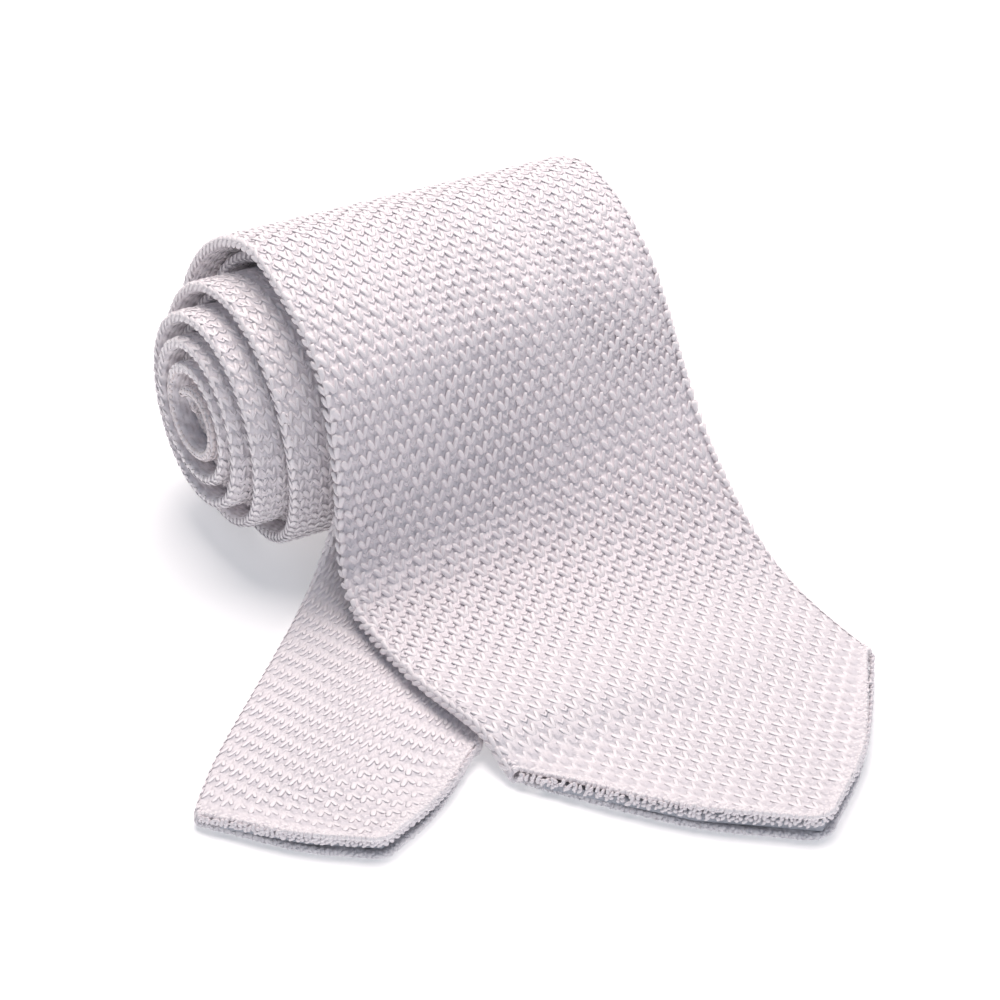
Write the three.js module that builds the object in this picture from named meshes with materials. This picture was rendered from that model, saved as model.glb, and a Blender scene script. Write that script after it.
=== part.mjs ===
// A knitted tie, folded in half and rolled up from the fold, lying on a table.
// The wide half is the outer layer of every turn. Its pointed end, the blade, comes over the
// roll and lies out in front. The narrow half is the inner layer, and its pointed end, the tail,
// comes out under the blade and lies to the left.
// Millimetres, Z up, X to the right along the roll, Y to the back.
import * as THREE from 'three';

// Sizes of the cloth
const bladeWidth = 67;
const neckWidth = 54;
const tailWidth = 47;
const bladePoint = 35;
const tailPoint = 18.5;
const layer = 0.85;
const woundCavity = 0.2;
const bladeCavity = 1.1;
const tailCavity = 0.6;
const bladeMouth = 3;
const tailMouth = 2.4;
const sidePinch = 0.75;
const hemDepth = 4;
const hemRecess = 1.5;
const clearance = 0.3;

// Sizes of the roll
const windRadius = 24.15;
const windOval = 0.65;
const windGap = 0.2;
const slack = 2.8;
const telescope = 12.5;
const narrowInset = 3.5;
const foldRadius = 1.5;
const foldDip = 0.3;
const foldLength = 1.3;
const coreRadius = 5.6;
const stepsPerTurn = 20;

// Sizes of the two ends on the table
const bladeRun = 91;
const tailRun = 74;
const tailReach = 49;
const tailYaw = 6.4;

const wound = 2 * layer + woundCavity;
const pitch = 2 * (wound + windGap);
const centreHeight = windRadius - windOval + pitch / 4;
const topTurn = -0.75;
const lastTurn = (windRadius - coreRadius) / pitch;

// Slack in the outermost turn, by turns before the front, as shares of slack
const slackTable = [
  { turn: -0.75, stand: 1 },
  { turn: -0.625, stand: 0.68 },
  { turn: -0.5, stand: 1.1 },
  { turn: -0.375, stand: 0.45 },
  { turn: -0.25, stand: 0 },
];

// How far the left edge of each turn sticks out, as shares of telescope
const edgeTable = [
  { turn: -0.75, out: 0 },
  { turn: -0.25, out: 0.17 },
  { turn: 0, out: 0.43 },
  { turn: 0.25, out: 0.5 },
  { turn: 0.75, out: 0.65 },
  { turn: 1, out: 0.8 },
  { turn: 1.25, out: 0.85 },
  { turn: 2, out: 0.96 },
  { turn: 5, out: 1 },
];

// Width of the wide half from the blade to the neck, share 0 is bladeWidth and 1 is neckWidth
const taperTable = [
  { turn: 1.25, taper: 0 },
  { turn: 2.25, taper: 0.3 },
  { turn: 3.25, taper: 0.65 },
  { turn: 5, taper: 1 },
];

// Side view of the blade from its shoulders up to the top of the roll. Out is forward of the
// roll's axis in shares of bladeRun, up is over the table in shares of the roll's top, over is
// the share of the tail's thickness that it climbs, shift is how far the left edge wanders out to
// the left in shares of bladeWidth.
const bladeTable = [
  { shift: 0.015, leftOut: 0.972, leftUp: 0, leftOver: 0, rightOut: 0.985, rightUp: 0 },
  { shift: 0.02, leftOut: 0.885, leftUp: 0, leftOver: 1.3, rightOut: 0.9, rightUp: 0 },
  { shift: 0.035, leftOut: 0.8, leftUp: 0, leftOver: 1.5, rightOut: 0.815, rightUp: 0.005 },
  { shift: 0.047, leftOut: 0.71, leftUp: 0, leftOver: 1.35, rightOut: 0.73, rightUp: 0.022 },
  { shift: 0.05, leftOut: 0.62, leftUp: 0.004, leftOver: 1.25, rightOut: 0.652, rightUp: 0.058 },
  { shift: 0.046, leftOut: 0.53, leftUp: 0.01, leftOver: 1.2, rightOut: 0.575, rightUp: 0.12 },
  { shift: 0.038, leftOut: 0.45, leftUp: 0.03, leftOver: 1.05, rightOut: 0.5, rightUp: 0.207 },
  { shift: 0.028, leftOut: 0.39, leftUp: 0.13, leftOver: 0.5, rightOut: 0.43, rightUp: 0.32 },
  { shift: 0.018, leftOut: 0.366, leftUp: 0.28, leftOver: 0, rightOut: 0.37, rightUp: 0.44 },
  { shift: 0.01, leftOut: 0.353, leftUp: 0.43, leftOver: 0, rightOut: 0.322, rightUp: 0.558 },
  { shift: 0.005, leftOut: 0.33, leftUp: 0.59, leftOver: 0, rightOut: 0.276, rightUp: 0.678 },
  { shift: 0.002, leftOut: 0.294, leftUp: 0.75, leftOver: 0, rightOut: 0.228, rightUp: 0.795 },
  { shift: 0, leftOut: 0.22, leftUp: 0.865, leftOver: 0, rightOut: 0.165, rightUp: 0.887 },
  { shift: 0, leftOut: 0.115, leftUp: 0.95, leftOver: 0, rightOut: 0.088, rightUp: 0.962 },
];

// The narrow half from the top of the roll down to the table, under the blade. Out and up as
// above, side is the left edge in shares of tailReach to the left, turn is how far the rows
// have turned to the tail's own direction.
const tailTable = [
  { side: -0.071, out: 0.096, up: 0.888, rightBack: 0.002, turn: 0 },
  { side: -0.071, out: 0.184, up: 0.829, rightBack: 0.01, turn: 0 },
  { side: -0.07, out: 0.245, up: 0.75, rightBack: 0.02, turn: 0 },
  { side: -0.067, out: 0.283, up: 0.64, rightBack: 0.019, turn: 0 },
  { side: -0.06, out: 0.303, up: 0.51, rightBack: 0.01, turn: 0 },
  { side: -0.045, out: 0.305, up: 0.375, rightBack: 0, turn: 0.02 },
  { side: -0.02, out: 0.291, up: 0.245, rightBack: 0, turn: 0.04 },
  { side: 0.045, out: 0.296, up: 0.11, rightBack: 0, turn: 0.1 },
  { side: 0.15, out: 0.335, up: 0.03, rightBack: 0, turn: 0.2 },
  { side: 0.265, out: 0.395, up: 0.003, rightBack: 0, turn: 0.35 },
  { side: 0.4, out: 0.47, up: 0, rightBack: 0, turn: 0.5 },
  { side: 0.545, out: 0.55, up: 0, rightBack: 0, turn: 0.65 },
  { side: 0.69, out: 0.63, up: 0, rightBack: 0, turn: 0.8 },
  { side: 0.825, out: 0.71, up: 0, rightBack: 0, turn: 0.93 },
];

// Outline of the pointed ends: across in shares of the half width, depth in shares of the point
const pointTable = [
  { across: 0, depth: 1 },
  { across: 0.5, depth: 0.61 },
  { across: 1, depth: 0 },
];

function look(table, key, value, at) {
  const last = table.length - 1;
  if (at <= table[0][key]) return table[0][value];
  if (at >= table[last][key]) return table[last][value];
  const i = table.findIndex((row) => row[key] > at) - 1;
  const share = (at - table[i][key]) / (table[i + 1][key] - table[i][key]);
  const before = table[Math.max(i - 1, 0)];
  const after = table[Math.min(i + 2, last)];
  const slopeIn = (table[i + 1][value] - before[value]) / (table[i + 1][key] - before[key]);
  const slopeOut = (after[value] - table[i][value]) / (after[key] - table[i][key]);
  const gap = table[i + 1][key] - table[i][key];
  const s2 = share * share;
  const s3 = s2 * share;
  return (2 * s3 - 3 * s2 + 1) * table[i][value] + (s3 - 2 * s2 + share) * gap * slopeIn
    + (3 * s2 - 2 * s3) * table[i + 1][value] + (s3 - s2) * gap * slopeOut;
}

// Outer face of the wide half, by turns counted from where it first comes round to the front
function outerRadius(turn) {
  const oval = windOval * Math.cos(4 * Math.PI * turn);
  const loose = turn < -0.25 ? slack * look(slackTable, 'turn', 'stand', turn) : 0;
  return windRadius + oval - pitch * turn + loose;
}

function onTurn(turn, radius, side) {
  const angle = 2 * Math.PI * turn;
  return new THREE.Vector3(side, -radius * Math.cos(angle), centreHeight + radius * Math.sin(angle));
}

function wideEdge(turn) {
  return -telescope * look(edgeTable, 'turn', 'out', turn);
}

function wideWidth(turn) {
  return THREE.MathUtils.lerp(bladeWidth, neckWidth, look(taperTable, 'turn', 'taper', turn));
}

// The narrow half widens a little towards the neck, inside the wide half
function narrowWidth(turn) {
  const inside = neckWidth - 2 * narrowInset;
  return THREE.MathUtils.lerp(tailWidth, inside, look(taperTable, 'turn', 'taper', turn));
}

// Rows run along the whole tie from the blade's point to the tail's point. Each holds the left
// and right edge of the tube's middle surface and the space between its two layers.
const rows = [];
const pointRows = 4;
const topHeight = centreHeight + outerRadius(topTurn) - wound / 2;

function addRow(left, right, cavity) {
  rows.push({ left, right, cavity });
}

function lying(cavity) {
  return layer + cavity / 2 - 0.05;
}

const tailThick = 2 * layer + tailCavity;
for (let i = pointRows; i > 0; i -= 1) {
  const ahead = (bladePoint * i) / pointRows;
  const z = lying(bladeCavity);
  const side = -bladeTable[0].shift * bladeWidth;
  const left = new THREE.Vector3(side, -bladeRun * bladeTable[0].leftOut - ahead, z);
  const right = new THREE.Vector3(bladeWidth, -bladeRun * bladeTable[0].rightOut - ahead, z);
  addRow(left, right, bladeCavity);
}
bladeTable.forEach((row, i) => {
  const cavity = THREE.MathUtils.lerp(bladeCavity, woundCavity, Math.min(1, i / 9));
  const base = lying(cavity);
  const rise = topHeight - base;
  const climb = row.leftOver * (tailThick + windGap);
  const side = -row.shift * bladeWidth;
  const left = new THREE.Vector3(side, -bladeRun * row.leftOut, base + climb + rise * row.leftUp);
  const right = new THREE.Vector3(bladeWidth, -bladeRun * row.rightOut, base + rise * row.rightUp);
  addRow(left, right, cavity);
});
const turnCount = Math.round((lastTurn - topTurn) * stepsPerTurn);
for (let i = 0; i <= turnCount; i += 1) {
  const turn = topTurn + i / stepsPerTurn;
  const radius = outerRadius(turn) - wound / 2;
  const side = wideEdge(turn);
  addRow(onTurn(turn, radius, side), onTurn(turn, radius, side + wideWidth(turn)), woundCavity);
}

// The fold at the core is a small loop that turns the wide half back into the narrow half
const foldTurn = topTurn + turnCount / stepsPerTurn;
const foldOuter = outerRadius(foldTurn) - wound / 2;
const foldAhead = 2 * Math.PI * foldTurn;
const foldSide = wideEdge(foldTurn) + narrowInset / 2;
for (let i = 1; i < 6; i += 1) {
  const bend = (Math.PI * i) / 6;
  const radius = foldOuter - foldRadius * (1 - Math.cos(bend) + foldDip * Math.sin(bend));
  const along = foldLength * foldRadius * Math.sin(bend);
  const y = -radius * Math.cos(foldAhead) + along * Math.sin(foldAhead);
  const z = centreHeight + radius * Math.sin(foldAhead) + along * Math.cos(foldAhead);
  const left = new THREE.Vector3(foldSide, y, z);
  const right = new THREE.Vector3(foldSide + neckWidth - narrowInset, y, z);
  addRow(left, right, woundCavity);
}

// The narrow half lies just inside the wide half, nearer to the next turn where that is slack
for (let i = turnCount; i >= 0; i -= 1) {
  const turn = topTurn + i / stepsPerTurn;
  const core = Math.max(0, 1 - (turnCount - i) / 8);
  const between = pitch / 2 + (2 * foldRadius - pitch / 2) * core * core;
  const loose = turn < -0.25 ? slack * look(slackTable, 'turn', 'stand', turn) : 0;
  const radius = outerRadius(turn) - wound / 2 - between - loose / 2;
  const side = wideEdge(turn) + narrowInset;
  addRow(onTurn(turn, radius, side), onTurn(turn, radius, side + narrowWidth(turn)), woundCavity);
}
const yaw = THREE.MathUtils.degToRad(tailYaw);
const tailRow = (side, out, turn) => {
  const slant = yaw * turn;
  return [
    new THREE.Vector2(side, out),
    new THREE.Vector2(side + tailWidth * Math.cos(slant), out - tailWidth * Math.sin(slant)),
  ];
};
tailTable.forEach((row, i) => {
  const cavity = THREE.MathUtils.lerp(woundCavity, tailCavity, Math.min(1, i / 9));
  const base = lying(cavity);
  const z = base + (topHeight - base) * row.up;
  const [left, right] = tailRow(-row.side * tailReach, -bladeRun * row.out, row.turn);
  const rightY = right.y + bladeRun * row.rightBack;
  addRow(new THREE.Vector3(left.x, left.y, z), new THREE.Vector3(right.x, rightY, z), cavity);
});
for (let i = 0; i <= pointRows; i += 1) {
  const ahead = (tailPoint * i) / pointRows;
  const side = -tailReach + 2 - Math.sin(yaw) * ahead;
  const [left, right] = tailRow(side, -tailRun - Math.cos(yaw) * ahead, 1);
  const z = lying(tailCavity);
  addRow(new THREE.Vector3(left.x, left.y, z), new THREE.Vector3(right.x, right.y, z), tailCavity);
}

const leftEdge = new THREE.CatmullRomCurve3(rows.map((row) => row.left), false, 'centripetal');
const rightEdge = new THREE.CatmullRomCurve3(rows.map((row) => row.right), false, 'centripetal');
const lastRow = rows.length - 1;

// A point of the middle surface: station counts rows, across runs from -1 left to 1 right
function middle(station, across) {
  const t = THREE.MathUtils.clamp(station / lastRow, 0, 1);
  return leftEdge.getPoint(t).lerp(rightEdge.getPoint(t), (across + 1) / 2);
}

function place(station, across, height) {
  const along = middle(station + 0.05, across).sub(middle(station - 0.05, across));
  const sideways = middle(station, 1).sub(middle(station, -1));
  const normal = new THREE.Vector3().crossVectors(sideways, along).normalize();
  const point = middle(station, across).addScaledVector(normal, -height);
  point.z = Math.max(point.z, 0);
  return point;
}

function widthAt(station) {
  return middle(station, 1).distanceTo(middle(station, -1));
}

// Bands of stations. Near a point they bend into the shape of its mouth: band 0 is the mouth.
const fadeRows = 6;
const fadeBands = 6;

function mouthDepth(across) {
  return pointRows * (1 - look(pointTable, 'across', 'depth', Math.abs(across)));
}

function bandStation(band, across) {
  const last = bandCount - 1;
  if (band < fadeBands) {
    return THREE.MathUtils.lerp(mouthDepth(across), fadeRows, band / fadeBands);
  }
  if (band > last - fadeBands) {
    return lastRow - THREE.MathUtils.lerp(mouthDepth(across), fadeRows, (last - band) / fadeBands);
  }
  return band - fadeBands + fadeRows;
}

const bandCount = lastRow - 2 * fadeRows + 2 * fadeBands + 1;

function nearBlade(band) {
  return band < bandCount / 2;
}

function flatCavity(band) {
  return rows[Math.round(THREE.MathUtils.clamp(bandStation(band, 1), 0, lastRow))].cavity;
}

// The cavity opens out over the last three bands to the mouth, straight from band to band,
// and stays pinched at the tube's two sides
function cavityAt(band, across) {
  const within = Math.min(band, bandCount - 1 - band);
  const flat = flatCavity(band);
  const mouth = nearBlade(band) ? bladeMouth : tailMouth;
  const open = (step) => (mouth - flat) * Math.max(0, 1 - step / 3) ** 2;
  const step = Math.floor(within);
  const swell = THREE.MathUtils.lerp(open(step), open(step + 1), within - step);
  return flat + swell * (1 - sidePinch * across * across);
}

// Where the tie ends, its lower layer stays on the table and the upper one rises
function liftAt(band, across) {
  const swell = (cavityAt(band, across) - flatCavity(band)) / 2;
  return nearBlade(band) ? -swell : swell;
}

const columns = [-1, -0.5, 0, 0.5, 1];

// Points round one section of the tube, with a shell outside (or inside) its cavity
function ring(band, trim, shell, edge) {
  const points = [];
  const put = (across, side) => {
    const height = side * (shell + cavityAt(band, across) / 2) + liftAt(band, across);
    points.push(place(bandStation(band, across), across, height));
  };
  const edgeHalf = cavityAt(band, 1) / 2;
  const flat = 1 - (trim + edgeHalf) / (widthAt(bandStation(band, 1)) / 2);
  columns.forEach((column) => put(column * flat, 1));
  if (edge) put(1, 0);
  [...columns].reverse().forEach((column) => put(column * flat, -1));
  if (edge) put(-1, 0);
  return points;
}

function outerRing(band) {
  return ring(band, layer, layer, true);
}

function innerRing(band) {
  return ring(band, layer, 0, false);
}

function hemRing(band) {
  return ring(band, layer + 7 * clearance, -1.2 * clearance, false);
}

// Joins two rings with different numbers of points into one strip of triangles
function bridge(faces, a, b, startA, startB) {
  let i = 0;
  let j = 0;
  while (i < a || j < b) {
    if (j >= b || (i < a && (i + 0.5) / a <= (j + 0.5) / b)) {
      faces.push(startA + (i % a), startA + ((i + 1) % a), startB + (j % b));
      i += 1;
    } else {
      faces.push(startB + ((j + 1) % b), startB + (j % b), startA + (i % a));
      j += 1;
    }
  }
}

function wrap(faces, size, start, next, flip) {
  for (let i = 0; i < size; i += 1) {
    const j = (i + 1) % size;
    if (flip) {
      faces.push(start + i, start + j, next + j, start + i, next + j, next + i);
    } else {
      faces.push(start + i, next + j, start + j, start + i, next + i, next + j);
    }
  }
}

function solid(points, faces, name, look3) {
  const geometry = new THREE.BufferGeometry();
  geometry.setAttribute('position', new THREE.Float32BufferAttribute(points.flatMap((p) => p.toArray()), 3));
  geometry.setIndex(faces);
  geometry.computeVertexNormals();
  const mesh = new THREE.Mesh(geometry, new THREE.MeshStandardMaterial(look3));
  mesh.name = name;
  return mesh;
}

function makeTube() {
  const points = [];
  const faces = [];
  const outerSize = 2 * columns.length + 2;
  const innerSize = 2 * columns.length;
  const size = outerSize + innerSize;
  for (let band = 0; band < bandCount; band += 1) {
    points.push(...outerRing(band), ...innerRing(band));
  }
  for (let band = 0; band < bandCount - 1; band += 1) {
    wrap(faces, outerSize, band * size, (band + 1) * size, false);
    wrap(faces, innerSize, band * size + outerSize, (band + 1) * size + outerSize, true);
  }
  const lastStart = (bandCount - 1) * size;
  bridge(faces, outerSize, innerSize, 0, outerSize);
  const far = [];
  bridge(far, outerSize, innerSize, lastStart, lastStart + outerSize);
  for (let i = 0; i < far.length; i += 3) faces.push(far[i], far[i + 2], far[i + 1]);
  return solid(points, faces, 'knit_tube', { color: 0xeee4ec, roughness: 0.7, metalness: 0 });
}

// The end of the tube turned in and sewn, which shows as the groove between the two lips
function makeHem(name, bandOf) {
  const point = nearBlade(bandOf(0)) ? bladePoint : tailPoint;
  const bandDepth = ((point / pointRows) * fadeRows) / fadeBands;
  const start = hemRecess / bandDepth;
  const rings = [hemRing(bandOf(start)), hemRing(bandOf(start + hemDepth / bandDepth))];
  const size = 2 * columns.length;
  const points = rings.flat();
  const faces = [];
  const flip = !nearBlade(bandOf(0));
  wrap(faces, size, 0, size, flip);
  for (let i = 0; i < size / 2 - 1; i += 1) {
    const j = size - 1 - i;
    const near = [i, i + 1, j, i + 1, j - 1, j];
    const far = [i, j, i + 1, i + 1, j, j - 1].map((corner) => corner + size);
    faces.push(...(flip ? [...near].reverse() : near), ...(flip ? [...far].reverse() : far));
  }
  return solid(points, faces, name, { color: 0xb9bdcc, roughness: 0.85, metalness: 0 });
}

// The origin is under the middle of the whole tie, on the table
const group = new THREE.Group();
group.add(makeTube());
group.add(makeHem('blade_hem', (band) => band));
group.add(makeHem('tail_hem', (band) => bandCount - 1 - band));
const box = new THREE.Box3().setFromObject(group);
const middleOfBox = box.getCenter(new THREE.Vector3());
group.position.set(-middleOfBox.x, -middleOfBox.y, -box.min.z);

export default group;
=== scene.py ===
import bpy
import numpy as np
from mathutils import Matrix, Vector


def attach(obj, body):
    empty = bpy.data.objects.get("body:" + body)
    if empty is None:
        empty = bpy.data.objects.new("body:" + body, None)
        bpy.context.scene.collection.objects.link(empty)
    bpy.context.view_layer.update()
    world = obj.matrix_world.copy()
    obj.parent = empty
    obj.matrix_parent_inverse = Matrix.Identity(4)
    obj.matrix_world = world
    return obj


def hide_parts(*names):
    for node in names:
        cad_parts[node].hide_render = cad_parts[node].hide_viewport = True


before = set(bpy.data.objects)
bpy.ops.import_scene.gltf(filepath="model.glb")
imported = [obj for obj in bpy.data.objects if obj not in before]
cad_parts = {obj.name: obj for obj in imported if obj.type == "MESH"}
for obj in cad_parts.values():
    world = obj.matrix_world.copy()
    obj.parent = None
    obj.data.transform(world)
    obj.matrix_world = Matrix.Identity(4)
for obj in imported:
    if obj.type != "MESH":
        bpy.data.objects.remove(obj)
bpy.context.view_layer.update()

# The table under the tie: one wide sheet of matt white board, swept up at the back so that no
# edge shows behind the tie. It lies at height 0, where the tie rests.
board_half = 2.4
board_rise = 1.6
# side view: distance behind the tie, height
sweep = [
    (-board_half, 0.0), (0.9, 0.0), (1.2, 0.03), (1.5, 0.14), (1.75, 0.38), (1.9, 0.8),
    (1.95, board_rise),
]
board_mesh = bpy.data.meshes.new("board")
board_points = [(x, y, z) for y, z in sweep for x in (-board_half, board_half)]
board_faces = [(2 * i, 2 * i + 1, 2 * i + 3, 2 * i + 2) for i in range(len(sweep) - 1)]
board_mesh.from_pydata(board_points, [], board_faces)
board = bpy.data.objects.new("board", board_mesh)
bpy.context.collection.objects.link(board)


class Value:
    """A number, colour or vector inside a finish. Sums on it add the nodes that work them out."""

    def __init__(self, finish, socket):
        self.finish = finish
        self.socket = socket

    def sum_with(self, operation, first, second):
        return self.finish.node("ShaderNodeMath", {"operation": operation}, {0: first, 1: second})

    def __add__(self, other):
        return self.sum_with("ADD", self, other)

    def __radd__(self, other):
        return self.sum_with("ADD", other, self)

    def __mul__(self, other):
        return self.sum_with("MULTIPLY", self, other)

    def __rmul__(self, other):
        return self.sum_with("MULTIPLY", other, self)


class Finish:
    """One material. What is the same all over is given as the shader's own socket values."""

    def __init__(self, name, **sockets):
        self.material = bpy.data.materials.new(name)
        self.material.use_nodes = True
        self.tree = self.material.node_tree
        self.shader = self.tree.nodes["Principled BSDF"]
        for socket, value in sockets.items():
            self.put(self.shader, socket.replace("_", " "), value)

    def put(self, node, socket, value):
        if isinstance(value, Value):
            self.tree.links.new(value.socket, node.inputs[socket])
        else:
            node.inputs[socket].default_value = value

    def node(self, kind, settings, sockets, output=0):
        """A new node of this kind. Its settings are set before its sockets get values or links."""
        node = self.tree.nodes.new(kind)
        for setting, value in settings.items():
            setattr(node, setting, value)
        for socket, value in sockets.items():
            self.put(node, socket, value)
        return Value(self, node.outputs[output])

    def mixed(self, share, first, second):
        """A colour that goes from the first to the second as share goes from 0 to 1."""
        sockets = {0: share, 6: (*first, 1), 7: (*second, 1)}
        return self.node("ShaderNodeMix", {"data_type": "RGBA"}, sockets, output=2)

    def cover(self, thing):
        thing.data.materials.clear()
        thing.data.materials.append(self.material)


cool_white, warm_white = (0.94, 0.94, 0.95), (0.97, 0.97, 0.97)
# The board glows a little: painted light that lifts the shadows on it and lights the tie from below.
glowing_board = Finish("glowing board", Roughness=0.9, Emission_Color=(1, 1, 1, 1), Emission_Strength=0.25)
grain = glowing_board.node("ShaderNodeTexNoise", {}, {"Scale": 3.0, "Detail": 2.0})
glowing_board.put(glowing_board.shader, "Base Color", glowing_board.mixed(grain, cool_white, warm_white))
glowing_board.cover(board)

# The camera stands to the front left of the tie and looks down on it, with a long lens.
camera_place = (-0.18081, -0.33271, 0.25361)
camera_down = 31.0
camera_left = 30.0
camera_data = bpy.data.cameras.new("camera")
camera_data.lens = 99.0
camera_data.sensor_width = 36.0
camera_data.clip_start = 0.01
camera = bpy.data.objects.new("camera", camera_data)
camera.location = camera_place
camera.rotation_euler = np.radians((90 - camera_down, 0, -camera_left))
bpy.context.collection.objects.link(camera)
bpy.context.scene.camera = camera

# The ground of the knit: one flat knitted tube, the whole tie, of white polyester yarn. It is
# folded in half, rolled up from the fold and laid down with both ends in front. Sizes in mm.
blade_width = 67.0
neck_width = 54.0
tail_width = 47.0
blade_point = 35.0
tail_point = 18.5
layer = 0.85
wound_cavity = 0.2
blade_cavity = 1.1
tail_cavity = 0.6
blade_mouth = 3.0
tail_mouth = 2.4
side_pinch = 0.75
wind_radius = 24.15
wind_oval = 0.65
wind_gap = 0.2
slack = 2.8
telescope = 12.5
narrow_inset = 3.5
fold_radius = 1.5
fold_dip = 0.3
fold_length = 1.3
core_radius = 5.6
steps_per_turn = 20
blade_run = 91.0
tail_run = 74.0
tail_reach = 49.0
tail_yaw = np.radians(6.4)
home = np.array([-10.0008, 47.0320, 0.0])

wound = 2 * layer + wound_cavity
pitch = 2 * (wound + wind_gap)
centre_height = wind_radius - wind_oval + pitch / 4
top_turn = -0.75
last_turn = (wind_radius - core_radius) / pitch
tail_thick = 2 * layer + tail_cavity

# turns before the front, and how far the outermost turn stands off in shares of the slack
slack_table = [(-0.75, 1), (-0.625, 0.68), (-0.5, 1.1), (-0.375, 0.45), (-0.25, 0)]
# turns, and how far the left edge sticks out in shares of telescope
edge_table = [
    (-0.75, 0), (-0.25, 0.17), (0, 0.43), (0.25, 0.5), (0.75, 0.65), (1, 0.8), (1.25, 0.85),
    (2, 0.96), (5, 1),
]
# turns, and how far the width has gone from the blade's to the neck's
taper_table = [(1.25, 0), (2.25, 0.3), (3.25, 0.65), (5, 1)]
# across from the middle in half widths, and depth in shares of the point
point_table = [(0, 0.967), (0.05, 0.957), (0.1, 0.925), (0.5, 0.61), (1, 0)]
# blade, side view up to the top of the roll: shift, left out, left up, left over, right out, right up
blade_table = [
    (0.015, 0.972, 0, 0, 0.985, 0),
    (0.02, 0.885, 0, 1.3, 0.9, 0),
    (0.035, 0.8, 0, 1.5, 0.815, 0.005),
    (0.047, 0.71, 0, 1.35, 0.73, 0.022),
    (0.05, 0.62, 0.004, 1.25, 0.652, 0.058),
    (0.046, 0.53, 0.01, 1.2, 0.575, 0.12),
    (0.038, 0.45, 0.03, 1.05, 0.5, 0.207),
    (0.028, 0.39, 0.13, 0.5, 0.43, 0.32),
    (0.018, 0.366, 0.28, 0, 0.37, 0.44),
    (0.01, 0.353, 0.43, 0, 0.322, 0.558),
    (0.005, 0.33, 0.59, 0, 0.276, 0.678),
    (0.002, 0.294, 0.75, 0, 0.228, 0.795),
    (0, 0.22, 0.865, 0, 0.165, 0.887),
    (0, 0.115, 0.95, 0, 0.088, 0.962),
]
# narrow half from the top of the roll to the table: side, out, up, right back, turn
tail_table = [
    (-0.071, 0.096, 0.888, 0.002, 0),
    (-0.071, 0.184, 0.829, 0.01, 0),
    (-0.07, 0.245, 0.75, 0.02, 0),
    (-0.067, 0.283, 0.64, 0.019, 0),
    (-0.06, 0.303, 0.51, 0.01, 0),
    (-0.045, 0.305, 0.375, 0, 0.02),
    (-0.02, 0.291, 0.245, 0, 0.04),
    (0.045, 0.296, 0.11, 0, 0.1),
    (0.15, 0.335, 0.03, 0, 0.2),
    (0.265, 0.395, 0.003, 0, 0.35),
    (0.4, 0.47, 0, 0, 0.5),
    (0.545, 0.55, 0, 0, 0.65),
    (0.69, 0.63, 0, 0, 0.8),
    (0.825, 0.71, 0, 0, 0.93),
]


def look(table, at):
    """Reads a table of two columns at any place between its rows, on a smooth line."""
    keys, values = np.array(table, float).T
    at = np.clip(at, keys[0], keys[-1])
    i = np.clip(np.searchsorted(keys, at, side="right") - 1, 0, len(keys) - 2)
    gap = keys[i + 1] - keys[i]
    share = (at - keys[i]) / gap
    before, after = np.maximum(i - 1, 0), np.minimum(i + 2, len(keys) - 1)
    slope_in = (values[i + 1] - values[before]) / (keys[i + 1] - keys[before])
    slope_out = (values[after] - values[i]) / (keys[after] - keys[i])
    two, three = share**2, share**3
    return (
        (2 * three - 3 * two + 1) * values[i]
        + (three - 2 * two + share) * gap * slope_in
        + (3 * two - 2 * three) * values[i + 1]
        + (three - two) * gap * slope_out
    )


def between(first, second, share):
    return first + (second - first) * share


def outer_radius(turn):
    loose = slack * look(slack_table, turn) if turn < -0.25 else 0
    return wind_radius + wind_oval * np.cos(4 * np.pi * turn) - pitch * turn + loose


def on_turn(turn, radius, side):
    angle = 2 * np.pi * turn
    return side, -radius * np.cos(angle), centre_height + radius * np.sin(angle)


def wide_edge(turn):
    return -telescope * look(edge_table, turn)


def lying(cavity):
    return layer + cavity / 2 - 0.05


rows = []
point_rows = 4
top_height = centre_height + outer_radius(top_turn) - wound / 2
for i in range(point_rows, 0, -1):
    ahead = blade_point * i / point_rows
    left = (-blade_table[0][0] * blade_width, -blade_run * blade_table[0][1] - ahead, lying(blade_cavity))
    right = (blade_width, -blade_run * blade_table[0][4] - ahead, lying(blade_cavity))
    rows.append((left, right, blade_cavity))
for i, (shift, left_out, left_up, left_over, right_out, right_up) in enumerate(blade_table):
    cavity = between(blade_cavity, wound_cavity, min(1, i / 9))
    base = lying(cavity)
    rise = top_height - base
    climb = left_over * (tail_thick + wind_gap)
    left = (-shift * blade_width, -blade_run * left_out, base + climb + rise * left_up)
    rows.append((left, (blade_width, -blade_run * right_out, base + rise * right_up), cavity))
turn_count = round((last_turn - top_turn) * steps_per_turn)
for i in range(turn_count + 1):
    turn = top_turn + i / steps_per_turn
    radius = outer_radius(turn) - wound / 2
    side = wide_edge(turn)
    width = between(blade_width, neck_width, look(taper_table, turn))
    rows.append((on_turn(turn, radius, side), on_turn(turn, radius, side + width), wound_cavity))
roll_rows = (point_rows + len(blade_table), len(rows) - 1)
fold_turn = top_turn + turn_count / steps_per_turn
fold_angle = 2 * np.pi * fold_turn
fold_outer = outer_radius(fold_turn) - wound / 2
fold_side = wide_edge(fold_turn) + narrow_inset / 2
for i in range(1, 6):
    bend = np.pi * i / 6
    radius = fold_outer - fold_radius * (1 - np.cos(bend) + fold_dip * np.sin(bend))
    along = fold_length * fold_radius * np.sin(bend)
    y = -radius * np.cos(fold_angle) + along * np.sin(fold_angle)
    z = centre_height + radius * np.sin(fold_angle) + along * np.cos(fold_angle)
    rows.append(((fold_side, y, z), (fold_side + neck_width - narrow_inset, y, z), wound_cavity))
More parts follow.
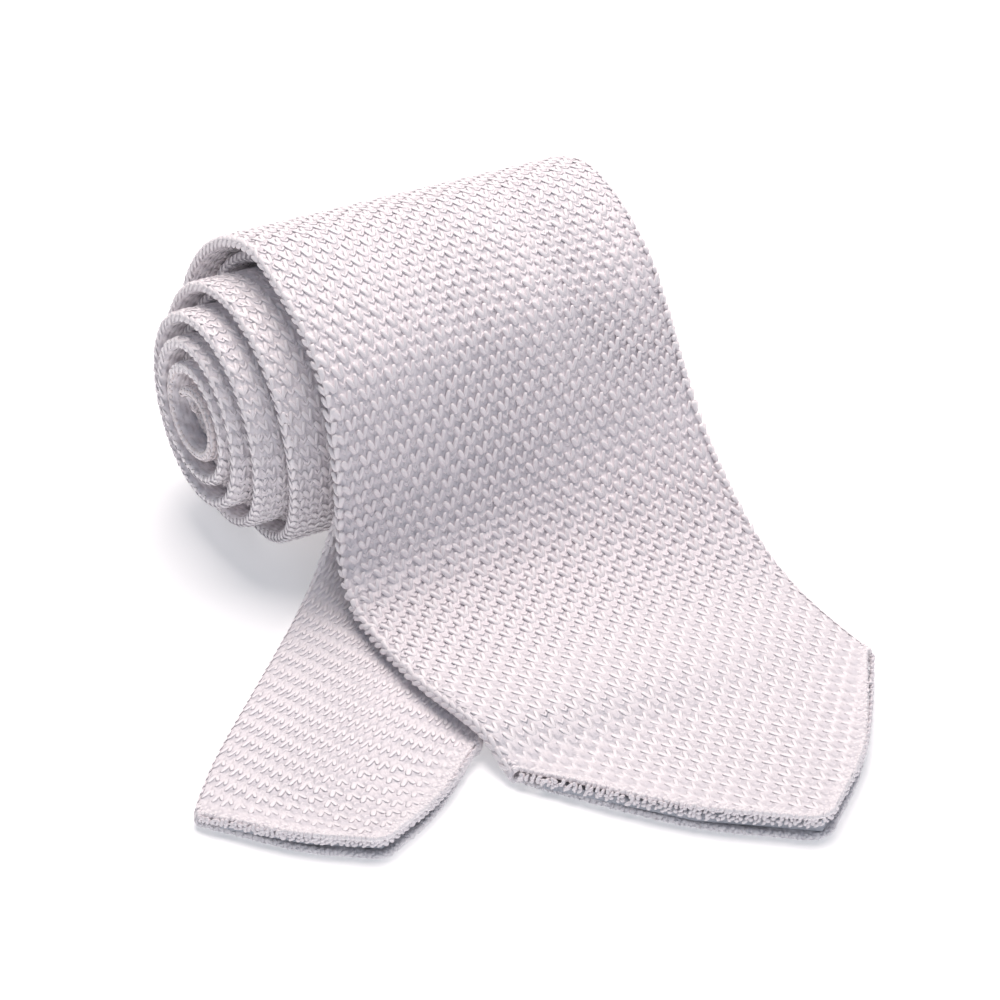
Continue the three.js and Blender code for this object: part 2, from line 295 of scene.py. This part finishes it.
for i in range(turn_count, -1, -1):
    turn = top_turn + i / steps_per_turn
    core = max(0, 1 - (turn_count - i) / 8)
    gap = pitch / 2 + (2 * fold_radius - pitch / 2) * core * core
    loose = slack * look(slack_table, turn) if turn < -0.25 else 0
    radius = outer_radius(turn) - wound / 2 - gap - loose / 2
    side = wide_edge(turn) + narrow_inset
    width = between(tail_width, neck_width - 2 * narrow_inset, look(taper_table, turn))
    rows.append((on_turn(turn, radius, side), on_turn(turn, radius, side + width), wound_cavity))
tail_rows = len(rows)
for i, (side, out, up, right_back, turn) in enumerate(tail_table):
    cavity = between(wound_cavity, tail_cavity, min(1, i / 9))
    z = lying(cavity) + (top_height - lying(cavity)) * up
    slant = tail_yaw * turn
    x, y = -side * tail_reach, -blade_run * out
    right = (x + tail_width * np.cos(slant), y - tail_width * np.sin(slant) + blade_run * right_back, z)
    rows.append(((x, y, z), right, cavity))
for i in range(point_rows + 1):
    ahead = tail_point * i / point_rows
    x, y = -tail_reach + 2 - np.sin(tail_yaw) * ahead, -tail_run - np.cos(tail_yaw) * ahead
    right = (x + tail_width * np.cos(tail_yaw), y - tail_width * np.sin(tail_yaw), lying(tail_cavity))
    rows.append(((x, y, lying(tail_cavity)), right, tail_cavity))


def smooth_line(points, steps):
    """A curve through all the points, with that many short steps from each to the next."""
    points = np.array(points, float)
    points = np.vstack([2 * points[0] - points[1], points, 2 * points[-1] - points[-2]])
    spans = np.linalg.norm(np.diff(points, axis=0), axis=1) ** 0.5
    line = []
    for i in range(1, len(points) - 2):
        p0, p1, p2, p3 = points[i - 1 : i + 3]
        d0, d1, d2 = spans[i - 1 : i + 2]
        leave = ((p1 - p0) / d0 - (p2 - p0) / (d0 + d1) + (p2 - p1) / d1) * d1
        arrive = ((p2 - p1) / d1 - (p3 - p1) / (d1 + d2) + (p3 - p2) / d2) * d1
        t = (np.arange(steps) / steps)[:, None]
        line.append(
            p1 + leave * t + (3 * p2 - 3 * p1 - 2 * leave - arrive) * t**2
            + (2 * p1 - 2 * p2 + leave + arrive) * t**3
        )
    return np.vstack([*line, points[-2:-1]])


fine = 16
left_line = smooth_line([row[0] for row in rows], fine)
right_line = smooth_line([row[1] for row in rows], fine)
run_line = (left_line + right_line) / 2
run_at = np.concatenate([[0], np.cumsum(np.linalg.norm(np.diff(run_line, axis=0), axis=1))])
whole_run = run_at[-1]
cavity_line = np.interp(np.arange(len(run_at)) / fine, np.arange(len(rows)), [row[2] for row in rows])
roll_from, roll_to = run_at[roll_rows[0] * fine], run_at[roll_rows[1] * fine]
tail_from = run_at[tail_rows * fine]


def side_lines(run):
    left = np.stack([np.interp(run, run_at, left_line[:, k]) for k in range(3)], -1)
    right = np.stack([np.interp(run, run_at, right_line[:, k]) for k in range(3)], -1)
    return left, right


def half_width(run):
    left, right = side_lines(run)
    return np.linalg.norm(right - left, axis=-1) / 2


def cloth(run, across, height):
    """Points of the cloth: run from the blade's point, across from -1 to 1, height off its middle."""
    left, right = side_lines(run)
    share = ((across + 1) / 2)[..., None]
    ahead_left, ahead_right = side_lines(np.minimum(run + 0.5, whole_run))
    back_left, back_right = side_lines(np.maximum(run - 0.5, 0))
    along = between(ahead_left, ahead_right, share) - between(back_left, back_right, share)
    normal = np.cross(right - left, along)
    normal /= np.linalg.norm(normal, axis=-1, keepdims=True)
    point = between(left, right, share) - normal * height[..., None]
    point[..., 2] = np.maximum(point[..., 2], 0)
    return (point + home) / 1000


fade_blade = 1.5 * blade_point
fade_tail = 1.5 * tail_point


def openness(run, across):
    """The space between the two layers, and how far the mouth lifts them off the table."""
    flat = np.interp(run, run_at, cavity_line)
    depth = look(point_table, np.abs(across))
    from_blade = (run - blade_point * (1 - depth)) / (fade_blade - blade_point * (1 - depth))
    from_tail = (whole_run - run - tail_point * (1 - depth)) / (fade_tail - tail_point * (1 - depth))
    blade_swell = (blade_mouth - flat) * np.clip(1 - 2 * from_blade, 0, 1) ** 2
    tail_swell = (tail_mouth - flat) * np.clip(1 - 2 * from_tail, 0, 1) ** 2
    pinch = 1 - side_pinch * across**2
    return flat + (blade_swell + tail_swell) * pinch, (tail_swell - blade_swell) * pinch / 2


def bands(step):
    """Shares of the way along the tie, band by band: near the ends they bend into the points."""
    middle = np.arange(fade_blade, whole_run - fade_tail, step)
    blade_share = np.concatenate([rim_shares, np.arange(rim_end, 1, step / fade_blade)])
    tail_share = np.concatenate([rim_shares, np.arange(rim_end, 1, step / fade_tail)])

    def runs(across):
        short = 1 - look(point_table, np.abs(across))
        first = between(blade_point * short, fade_blade, blade_share[:, None])
        last = whole_run - between(tail_point * short, fade_tail, tail_share[::-1, None])
        return np.vstack([first, np.repeat(middle[:, None], len(across), 1), last])

    return runs


band_step = 1.8
rim_shares = [0, 0.0008, 0.003, 0.007, 0.014]
rim_end = 0.03
side_columns = 3
half_column = np.array([0.05, 0.1, 0.2, 0.35, 0.5, 0.65, 0.78, 0.87, 0.94, 1])
column = np.concatenate([-half_column[::-1], [0], half_column])
flat_columns = len(column)
corner = np.radians(90 - 180 * np.arange(1, side_columns + 1) / (side_columns + 1))
round_it = np.concatenate([np.ones(flat_columns), np.sin(corner), -np.ones(flat_columns), -np.sin(corner)])
out_share = np.concatenate([np.zeros(flat_columns), np.cos(corner), np.zeros(flat_columns), -np.cos(corner)])
flat_share = np.concatenate([column, np.ones(side_columns), column[::-1], -np.ones(side_columns)])


def lip_runs(across, from_blade):
    """Where the cloth ends at either mouth, as runs."""
    short = 1 - look(point_table, np.abs(across))
    return blade_point * short if from_blade else whole_run - tail_point * short


def rings(outward):
    """All the sections of the tube's outer face (1) or its lining (-1), as points and their
    places. The two faces meet in a round at the mouths."""
    runs = bands(band_step)(flat_share)
    across = np.repeat(flat_share[None], len(runs), 0)
    cavity, lift = openness(runs, across)
    edge = openness(runs, np.ones_like(runs))[0] / 2
    half = half_width(runs)
    mouth = np.minimum(runs - lip_runs(across, True), lip_runs(across, False) - runs)
    rounded = np.sqrt(1 - np.clip(1 - mouth / (layer / 2), 0, 1) ** 2)
    shell = layer / 2 * (1 + outward * np.maximum(rounded, 0.1))
    flat = 1 - (layer + edge) / half
    across = flat_share * flat + out_share * (shell + edge) / half
    radius = np.where(out_share == 0, shell + cavity / 2, shell + edge)
    return cloth(runs, across, round_it * radius + lift), np.stack([across * half, runs], -1)


def joined(name, points, faces, places=None):
    """A mesh object from arrays of points and of faces with the same number of corners."""
    mesh = bpy.data.meshes.new(name)
    mesh.vertices.add(len(points))
    mesh.vertices.foreach_set("co", np.asarray(points, np.float32).ravel())
    corners = faces.shape[1]
    mesh.loops.add(faces.size)
    mesh.loops.foreach_set("vertex_index", faces.astype(np.int32).ravel())
    mesh.polygons.add(len(faces))
    mesh.polygons.foreach_set("loop_start", np.arange(len(faces), dtype=np.int32) * corners)
    mesh.update(calc_edges=True)
    mesh.polygons.foreach_set("use_smooth", np.ones(len(faces), bool))
    if places is not None:
        cloth_mm = mesh.uv_layers.new(name="cloth_mm")
        cloth_mm.data.foreach_set("uv", places[faces.ravel()].astype(np.float32).ravel())
    mesh.validate()
    thing = bpy.data.objects.new(name, mesh)
    bpy.context.collection.objects.link(thing)
    return thing


outside, outside_places = rings(1)
inside, inside_places = rings(-1)
band_count, ring_size = outside.shape[:2]
number = np.arange(band_count * ring_size).reshape(band_count, ring_size)
around = np.roll(number, -1, axis=1)
walls = np.stack([number[:-1], around[:-1], around[1:], number[1:]], -1).reshape(-1, 4)
lining_start = band_count * ring_size
near_rim = np.stack([number[0] + lining_start, around[0] + lining_start, around[0], number[0]], -1)
far_rim = np.stack([number[-1], around[-1], around[-1] + lining_start, number[-1] + lining_start], -1)
ground = joined(
    "knit_ground",
    np.vstack([outside.reshape(-1, 3), inside.reshape(-1, 3)]),
    np.vstack([walls, walls[:, ::-1] + lining_start, near_rim, far_rim]),
    np.vstack([outside_places.reshape(-1, 2), inside_places.reshape(-1, 2)]),
)

stitch_across = 3.6
stitch_along = 1.95
whole_turn = 2 * np.pi
strands_in_stitch = 4
# Painted shade: the ground yarn is painted darker than the stitches, most where its relief is low, in the
# recesses between them, and pale where it stands up.
ground_painted_shade, ground_light = (0.74, 0.7, 0.735), (0.93, 0.875, 0.895)
ground_yarn = Finish("ground yarn", Roughness=0.8, Sheen_Weight=0.2, Sheen_Roughness=0.5)
places = ground_yarn.node("ShaderNodeUVMap", {"uv_map": "cloth_mm"}, {})
mm_across = ground_yarn.node("ShaderNodeSeparateXYZ", {}, {0: places})
mm_along = ground_yarn.node("ShaderNodeSeparateXYZ", {}, {0: places}, output=1)


def wave(finish, at, length):
    return finish.node("ShaderNodeMath", {"operation": "COSINE"}, {0: at * (whole_turn / length)})


diamonds = wave(ground_yarn, mm_across, stitch_across) * wave(ground_yarn, mm_along, 2 * stitch_along)
strands = wave(ground_yarn, mm_across, stitch_across / strands_in_stitch)
fluff = ground_yarn.node("ShaderNodeTexNoise", {}, {"Vector": places, "Scale": 1.3, "Detail": 4.0})
relief = diamonds + strands * 0.15 + fluff
shade = ground_yarn.node("ShaderNodeMapRange", {}, {0: relief, 1: -0.6, 2: 1.6, 3: 0.0, 4: 1.0})
ground_yarn.put(ground_yarn.shader, "Base Color", ground_yarn.mixed(shade, ground_painted_shade, ground_light))
bump = ground_yarn.node("ShaderNodeBump", {}, {"Strength": 0.9, "Distance": 0.0003, "Height": relief})
ground_yarn.put(ground_yarn.shader, "Normal", bump)
ground_yarn.cover(ground)
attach(ground, "root")
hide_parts("knit_tube")

# The V stitches on the faces that show: each is a fat bright stitch of two arms that stand up
# from the ground, apex towards the blade. Every other row is set half a stitch to the side.
rng = np.random.default_rng(7)
size_spread, lean_spread, nudge_spread = 0.06, 0.08, 0.05
# runs, in mm, where the blade leaves the table and where the drape turns over onto the roll
off_table_from, off_table_to = 50, 85
crest_from, crest_to = 112, 142
crest_flattening = 0.88
tail_settling = 50
lying_relief, drape_relief = 0.3, 0.9
lying_sink, standing_lift = 0.04, 0.06


def tube(path, radii, flatness, sides):
    """A short closed length of yarn along a path, as points and triangles."""
    path, radii = np.array(path, float), np.array(radii, float)
    along = np.gradient(path, axis=0)
    along /= np.linalg.norm(along, axis=1, keepdims=True)
    aside = np.cross(along, (0, 0, 1))
    aside /= np.linalg.norm(aside, axis=1, keepdims=True)
    upward = np.cross(aside, along)
    turn = whole_turn * np.arange(sides) / sides
    sideways = np.cos(turn)[None, :, None] * aside[:, None]
    upright = flatness * np.sin(turn)[None, :, None] * upward[:, None]
    points = (path[:, None] + radii[:, None, None] * (sideways + upright)).reshape(-1, 3)
    number = np.arange(len(path) * sides).reshape(len(path), sides)
    around = np.roll(number, -1, axis=1)
    first = np.stack([number[:-1], number[1:], around[1:]], -1).reshape(-1, 3)
    second = np.stack([number[:-1], around[1:], around[:-1]], -1).reshape(-1, 3)
    caps = [[0, i, i + 1] for i in range(1, sides - 1)]
    last = number[-1, 0]
    caps += [[last, last + i + 1, last + i] for i in range(1, sides - 1)]
    return points, np.vstack([first, second, caps])


def together(parts):
    """Several lengths of yarn as one pattern."""
    points, faces, start = [], [], 0
    for part_points, part_faces in parts:
        points.append(part_points)
        faces.append(part_faces + start)
        start += len(part_points)
    return np.vstack(points), np.vstack(faces)


left_arm = tube(
    [(0.05, -1.0, -0.35), (-0.12, -0.62, 0.0), (-0.42, -0.1, 0.16), (-0.8, 0.48, 0.36), (-1.02, 0.84, 0.42)],
    [0.18, 0.42, 0.5, 0.45, 0.3],
    0.8,
    6,
)
right_arm = tube(
    [(0.15, -1.0, -0.35), (0.28, -0.58, 0.02), (0.42, 0.05, 0.2), (0.56, 0.7, 0.42), (0.64, 1.05, 0.5)],
    [0.16, 0.34, 0.38, 0.37, 0.25],
    0.9,
    6,
)
v_stitch = together([left_arm, right_arm])
low_loop = tube(
    [(1.2, 0.75, -0.2), (1.42, 0.0, -0.02), (1.8, -0.4, 0.06), (2.18, 0.0, -0.02), (2.4, 0.75, -0.2)],
    [0.2, 0.33, 0.36, 0.33, 0.2],
    0.7,
    4,
)


knot = tube(
    [(0, -0.6, -0.26), (0, -0.3, -0.13), (0, 0.0, -0.08), (0, 0.3, -0.13), (0, 0.6, -0.26)],
    [0.14, 0.36, 0.44, 0.36, 0.14],
    0.6,
    6,
)


def smooth_step(at, start, end):
    share = np.clip((at - start) / (end - start), 0, 1)
    return share * share * (3 - 2 * share)


def skin(run, x, height, face):
    """Points on the outside of the tube: x is measured in mm along the cloth from its middle, and
    goes on round the side edge to the other face."""
    half = half_width(run)
    cavity, lift = openness(run, np.clip(x / half, -1, 1))
    edge = layer + openness(run, np.ones_like(run))[0] / 2
    flat = half - edge
    bend = np.clip((np.abs(x) - flat) / edge, 0, 2.6)
    round_part = bend > 0
    radius = np.where(round_part, edge, layer + cavity / 2) + height
    across = np.where(round_part, np.sign(x) * (flat + (edge + height) * np.sin(bend)), x) / half
    return cloth(run, across, face * radius * np.cos(bend) + lift)


def sewn(name, pattern, runs, across_mm, face, scale=1.0, relief=1.0):
    """One pattern of yarn set many times into a face of the cloth, each a little different. It
    stands up on the drape and lies flatter on the roll and on the table."""
    points, faces = pattern
    count = len(runs)
    size = scale * (1 + size_spread * rng.standard_normal((count, 1)))
    lean = lean_spread * rng.standard_normal((count, 1))
    nudge = nudge_spread * rng.standard_normal((count, 2))
    aside = points[None, :, 0] * size + lean * points[None, :, 1] + nudge[:, :1]
    ahead = points[None, :, 1] * size + nudge[:, 1:]
    run = np.clip(runs[:, None] + ahead, 0, whole_run)
    off_table = smooth_step(run, off_table_from, off_table_to)
    off_table = off_table * (1 - smooth_step(run, tail_from, tail_from + tail_settling))
    drape = off_table * (1 - crest_flattening * smooth_step(run, crest_from, crest_to))
    rise = size * relief * (lying_relief + drape_relief * drape)
    height = standing_lift * off_table - lying_sink + points[None, :, 2] * rise
    placed = skin(run, across_mm[:, None] + aside, height, face)
    all_faces = (faces[None] + (np.arange(count) * len(points))[:, None, None]).reshape(-1, 3)
    if face > 0:
        all_faces = all_faces[:, ::-1]
    return joined(name, placed.reshape(-1, 3), all_faces)


def row_lean(run, x):
    """How far a row of stitches runs ahead to the right where the blade turns down off the roll."""
    return -0.09 * x * smooth_step(run, 75, 95) - 0.12 * np.maximum(x, 0) * smooth_step(run, 100, 125)


most_columns = 12
column_clear = 0.7
edge_chain_out = 0.2


def lattice(first_run, last_run):
    """Places of the stitches from one run to another, as runs and millimetres across. Along each
    side edge every row has a stitch."""
    found = []
    for row in range(int(np.ceil(first_run / stitch_along)), int(last_run / stitch_along) + 1):
        run = row * stitch_along
        half = float(half_width(np.array(run)))
        columns = (np.arange(-most_columns, most_columns + 1) + 0.5 * (row % 2)) * stitch_across
        found += [(run, x) for x in columns[np.abs(columns) < half - column_clear]]
        found += [(run, -half - edge_chain_out), (run, half + edge_chain_out)]
    runs, across_mm = np.array(found).T
    return runs + row_lean(runs, across_mm), across_mm


mouth_clear = 1.7
side_round = 1.6


def off_mouth(runs, across_mm):
    """True where a stitch lies clear of both mouths."""
    across = np.abs(across_mm) / (half_width(runs) - side_round)
    clear_of_blade = runs > lip_runs(across, True) + mouth_clear
    return clear_of_blade & (runs < lip_runs(across, False) - mouth_clear)


def yarn_finish(name, low, high):
    """Bright twisted polyester yarn: a little sheen, and fibres that break up the light."""
    yarn = Finish(name, Roughness=0.4, Sheen_Weight=0.3, Sheen_Roughness=0.4)
    where = yarn.node("ShaderNodeTexCoord", {}, {}, output=3)
    tone = yarn.node("ShaderNodeTexNoise", {}, {"Vector": where, "Scale": 420.0, "Detail": 2.0})
    fibres = yarn.node("ShaderNodeTexNoise", {}, {"Vector": where, "Scale": 2400.0, "Detail": 2.0})
    yarn.put(yarn.shader, "Base Color", yarn.mixed(tone, low, high))
    bump = yarn.node("ShaderNodeBump", {}, {"Strength": 0.5, "Distance": 0.0001, "Height": fibres})
    yarn.put(yarn.shader, "Normal", bump)
    return yarn


stitch_yarn = yarn_finish("stitch yarn", (0.9, 0.845, 0.86), (0.99, 0.94, 0.95))
# The low loops are painted darker than the stitches: painted shade where they lie sunk between them.
shaded_loop_yarn = yarn_finish("shaded loop yarn", (0.83, 0.775, 0.8), (0.95, 0.895, 0.91))
# The knots in the core are painted darker and warmer than the other yarn: painted shade in the hollow core of
# the roll.
shaded_core_yarn = yarn_finish("shaded core yarn", (0.72, 0.65, 0.65), (0.88, 0.8, 0.8))


def knitted(thing, yarn):
    yarn.cover(thing)
    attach(thing, "root")


def chosen(places, kept):
    return places[0][kept], places[1][kept]


def joined_places(*several):
    runs, across_mm = zip(*several)
    return np.concatenate(runs), np.concatenate(across_mm)


tuck_margin = 2.0


def shown_margin(run):
    """How much of a turn's left side shows, in mm: what stands out from under the turn round it,
    and a little more."""
    turn = top_turn + np.interp(run, run_at, np.arange(len(run_at)) / fine - roll_rows[0]) / steps_per_turn
    return tuck_margin + telescope * (look(edge_table, turn) - look(edge_table, turn - 1))


roll_end = roll_from + 150
core_from, core_to = roll_to - 45, roll_to + 45
core_step, core_row_gap, core_row_count = 1.2, 0.95, 10
just_past = 0.01
hidden_tail = 30
inside_from, inside_to, inside_deep = roll_from - 20, roll_from + 75, 9
blade = lattice(0, roll_from)
blade = chosen(blade, off_mouth(*blade))
roll = lattice(roll_from + just_past, roll_end)
turns = lattice(roll_end + just_past, core_from)
narrow = lattice(core_to + just_past, tail_from)
right_edge = joined_places(turns, narrow)
right_edge = chosen(right_edge, right_edge[1] > half_width(right_edge[0]) + edge_chain_out / 2)
turns = chosen(turns, turns[1] < shown_margin(turns[0]) - half_width(turns[0]))
narrow = chosen(narrow, narrow[1] < tuck_margin - half_width(narrow[0]))
core_runs, core_rows = np.meshgrid(np.arange(core_from, core_to, core_step), np.arange(core_row_count))
core_runs = (core_runs + core_step / 2 * (core_rows % 2)).ravel()
core = core_runs, core_row_gap * core_rows.ravel() - 1.2 - half_width(core_runs)
tail = lattice(tail_from + hidden_tail, whole_run)
tail = chosen(tail, off_mouth(*tail))
loose_inside = lattice(inside_from, inside_to)
in_from_edge = half_width(loose_inside[0]) - np.abs(loose_inside[1])
loose_inside = chosen(loose_inside, (in_from_edge < inside_deep) & (in_from_edge > 1.2))
knitted(sewn("blade_stitches", v_stitch, *blade, -1), stitch_yarn)
knitted(sewn("roll_stitches", v_stitch, *roll, -1), stitch_yarn)
knitted(sewn("turn_stitches", v_stitch, *joined_places(turns, narrow, right_edge), -1, 0.8, 0.7), stitch_yarn)
knitted(sewn("inside_stitches", v_stitch, *loose_inside, 1, 0.8, 0.5), stitch_yarn)
knitted(sewn("tail_stitches", v_stitch, *tail, 1), stitch_yarn)
knitted(sewn("outer_loops", low_loop, *joined_places(blade, roll), -1), shaded_loop_yarn)
knitted(sewn("turn_loops", low_loop, *joined_places(turns, narrow), -1), shaded_loop_yarn)
knitted(sewn("core_knots", knot, *core, -1), shaded_core_yarn)
knitted(sewn("inside_loops", low_loop, *loose_inside, 1), shaded_loop_yarn)
knitted(sewn("tail_loops", low_loop, *tail, 1), shaded_loop_yarn)

# The lips of the two pointed mouths: the last rows of each layer are cast off and the end is
# turned in, which leaves close rows of small uneven knots, set back a little between the lips.
dot_spacing = 1.05
dot_size, dot_spread = 0.85, 0.1
lip_reach, hem_reach = 1.02, 0.96


def lip_dots(name, half, from_blade, face, rows_of_dots, on_hem=False):
    """Rows of knots on one round lip. Each row has its angle round the lip, from 90 on the outer
    face to -90 in the mouth, how many mm it lies back from there, and how far it is sunk into
    the mouth, in shares of the mouth. Rows on the hem follow its edge, which is a little wider
    than the tube's."""
    points, faces = knot
    widest = hem_reach if on_hem else lip_reach
    number = int(2 * half / dot_spacing)
    across, angle, back, sunk = [], [], [], []
    for i, (row_angle, row_back, row_sunk) in enumerate(rows_of_dots):
        across.append(np.linspace(-widest, widest, number) + 0.5 * (i % 2) * dot_spacing / half)
        angle.append(np.full((number, 1), np.radians(row_angle)))
        back.append(np.full((number, 1), row_back))
        sunk.append(np.full((number, 1), row_sunk))
    across, angle, back, sunk = (np.concatenate(each) for each in (across, angle, back, sunk))
    count = len(across)
    across = np.clip(across + dot_spread / half * rng.standard_normal(count), -widest, widest)
    size = dot_size + dot_spread * rng.standard_normal((count, 1))
    turn = np.pi * rng.random((count, 1))
    aside = size * (points[:, 0] * np.cos(turn) - points[:, 1] * np.sin(turn))
    ahead = size * (points[:, 0] * np.sin(turn) + points[:, 1] * np.cos(turn))
    out = size * points[:, 2]
    inward = layer / 2 * (1 - np.cos(angle)) + back + np.sin(angle) * ahead - np.cos(angle) * out
    run = lip_runs(across, from_blade)[:, None] + inward * (1 if from_blade else -1)
    place = across[:, None] + aside / half
    cavity, lift = openness(run, np.clip(place, -1, 1))
    level = cavity * (0.5 - sunk) + layer / 2 * (1 + np.sin(angle))
    height = level + np.cos(angle) * ahead + np.sin(angle) * out
    flat = 1 if on_hem else 1 - (layer + openness(run, np.ones_like(run))[0] / 2) / half
    placed = cloth(np.clip(run, 0, whole_run), place * flat, face * height + lift)
    all_faces = (faces[None] + (np.arange(count) * len(points))[:, None, None]).reshape(-1, 3)
    return joined(name, placed.reshape(-1, 3), all_faces)


# rows of knots: angle, back, sunk
upper_lip = [
    (90, 1.7, 0.02), (90, 1.0, 0.02), (90, 0.35, 0.01), (60, 0, 0), (28, 0, 0), (-5, 0, 0), (-35, 0, 0),
]
turned_in = [(0, 0.45, 0), (0, 0.4, 0.12), (0, 0.35, 0.27), (0, 0.4, 0.43), (0, 0.45, 0.58)]
lower_lip = [(-80, 0.2, 0), (-45, 0, 0), (-5, 0, 0), (40, 0, 0)]
knitted(lip_dots("blade_upper_lip", blade_width / 2, True, -1, upper_lip), stitch_yarn)
# The turned-in rows use the darker loop yarn: painted shade between the lips.
knitted(lip_dots("blade_turned_in", blade_width / 2, True, -1, turned_in, True), shaded_loop_yarn)
knitted(lip_dots("blade_lower_lip", blade_width / 2, True, 1, lower_lip), stitch_yarn)
knitted(lip_dots("tail_upper_lip", tail_width / 2, False, 1, upper_lip), stitch_yarn)
knitted(lip_dots("tail_turned_in", tail_width / 2, False, 1, turned_in, True), shaded_loop_yarn)
knitted(lip_dots("tail_lower_lip", tail_width / 2, False, -1, lower_lip), stitch_yarn)

# The hems: each end of the tube is turned in and sewn, and lies in the groove between the
# two lips. They are the frame's own solids with a rough fabric finish, painted blue-grey: painted shade in
# the groove, over the white yarn.
hem_shade_dark, hem_shade_pale = (0.5, 0.52, 0.58), (0.72, 0.73, 0.79)
shaded_hem_cloth = Finish("shaded hem cloth", Roughness=0.9)
weave = shaded_hem_cloth.node("ShaderNodeTexNoise", {}, {"Scale": 900.0, "Detail": 3.0})
shaded_hem_cloth.put(shaded_hem_cloth.shader, "Base Color", shaded_hem_cloth.mixed(weave, hem_shade_dark, hem_shade_pale))
bump = shaded_hem_cloth.node("ShaderNodeBump", {}, {"Strength": 0.7, "Distance": 0.0003, "Height": weave})
shaded_hem_cloth.put(shaded_hem_cloth.shader, "Normal", bump)
for hem in ("blade_hem", "tail_hem"):
    shaded_hem_cloth.cover(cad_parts[hem])

# The lamps: one wide soft lamp overhead and a little behind, and a weak one in front to the left.
lamps = [
    ("overhead lamp", (0.11, 0.16, 0.55), 0.5, 4.05, (1.0, 0.91, 0.88)),
    ("front lamp", (-0.2, -0.9, 0.28), 0.6, 1.5, (0.88, 0.93, 1.0)),
]
for name, place, size, power, colour in lamps:
    data = bpy.data.lights.new(name, "AREA")
    data.shape = "DISK"
    data.size = size
    data.energy = power
    data.color = colour
    lamp = bpy.data.objects.new(name, data)
    lamp.location = place
    lamp.rotation_euler = (Vector(place) * -1).to_track_quat("-Z", "Y").to_euler()
    bpy.context.collection.objects.link(lamp)
room = bpy.data.worlds.new("room")
room.use_nodes = True
daylight = room.node_tree.nodes["Background"]
daylight.inputs["Color"].default_value = (0.69, 0.82, 1.0, 1)
daylight.inputs["Strength"].default_value = 0.22
bpy.context.scene.world = room
bpy.context.scene.view_settings.view_transform = "Standard"
